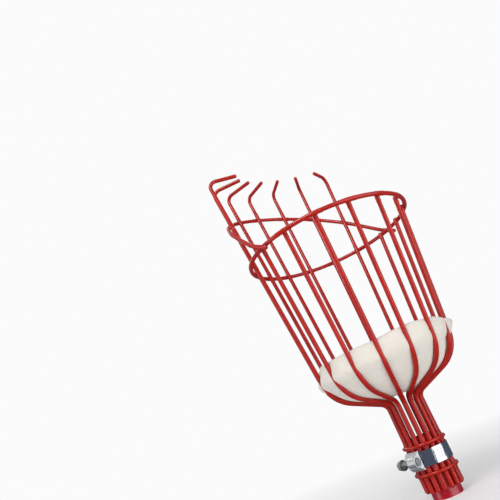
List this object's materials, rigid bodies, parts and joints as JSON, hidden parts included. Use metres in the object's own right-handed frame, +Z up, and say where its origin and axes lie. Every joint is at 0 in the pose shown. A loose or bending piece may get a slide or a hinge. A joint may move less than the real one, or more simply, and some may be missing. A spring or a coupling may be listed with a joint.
{
  "type": "fruit picker basket",
  "caption": "Wire cage basket with hooked picking tines, a foam pad and a clamped pole socket, for picking fruit from high branches.",
  "frame": {"origin": "centre of the lower end of the pole sleeve, where the pole goes in", "axes": "+Z up the pole's axis into the basket; +Y towards the middle tine at the back, -Y towards the low front rim"},
  "size_m": [0.1736, 0.1757, 0.3537],
  "materials": {
    "coated_wire": "steel wire with a glossy red dipped coating",
    "sleeve": "thin glossy crimson plastic liner",
    "foam": "cream open cell foam, fine pored and matte",
    "zinc_band": "rolled zinc plated steel strip",
    "zinc_housing": "stamped bright zinc plated steel",
    "dark_zinc": "dull grey plated screw"
  },
  "bodies": {
    "cage": {"rim_wire_1": "coated_wire", "rim_wire_2": "coated_wire", "rim_wire_3": "coated_wire", "rim_wire_4": "coated_wire", "rim_wire_5": "coated_wire", "rim_wire_6": "coated_wire", "rim_wire_7": "coated_wire", "rim_wire_8": "coated_wire", "rim_wire_9": "coated_wire", "tine_wire_1": "coated_wire", "tine_wire_2": "coated_wire", "tine_wire_3": "coated_wire", "tine_wire_4": "coated_wire", "tine_wire_5": "coated_wire", "tine_wire_6": "coated_wire", "tine_wire_7": "coated_wire", "rim_hoop": "coated_wire", "tine_hoop": "coated_wire", "upper_collar": "coated_wire", "lower_collar": "coated_wire", "pole_sleeve": "sleeve", "foam_pad": "foam"},
    "clamp": {"clamp_band": "zinc_band", "clamp_housing": "zinc_housing"},
    "clamp_tail": {"clamp_band_tail": "zinc_band"},
    "clamp_screw": {"clamp_screw": "dark_zinc"}
  },
  "joints": [
    {"name": "clamp_turn", "type": "hinge", "parent": "cage", "child": "clamp", "pos_m": [0, 0, 0.0323], "axis": [0, 0, 1], "continuous": true},
    {"name": "screw_turn", "type": "hinge", "parent": "clamp", "child": "clamp_screw", "pos_m": [-0.0217, 0, 0.0323], "axis": [0, 1, 0], "range_deg": [-360, 360]},
    {"name": "band_slide", "type": "hinge", "parent": "clamp", "child": "clamp_tail", "pos_m": [0, 0, 0.0323], "axis": [0, 0, 1], "range_deg": [-10, 10]}
  ],
  "couplings": [
    {"joint": "band_slide", "follows": "screw_turn", "ratio": 0.0272}
  ]
}
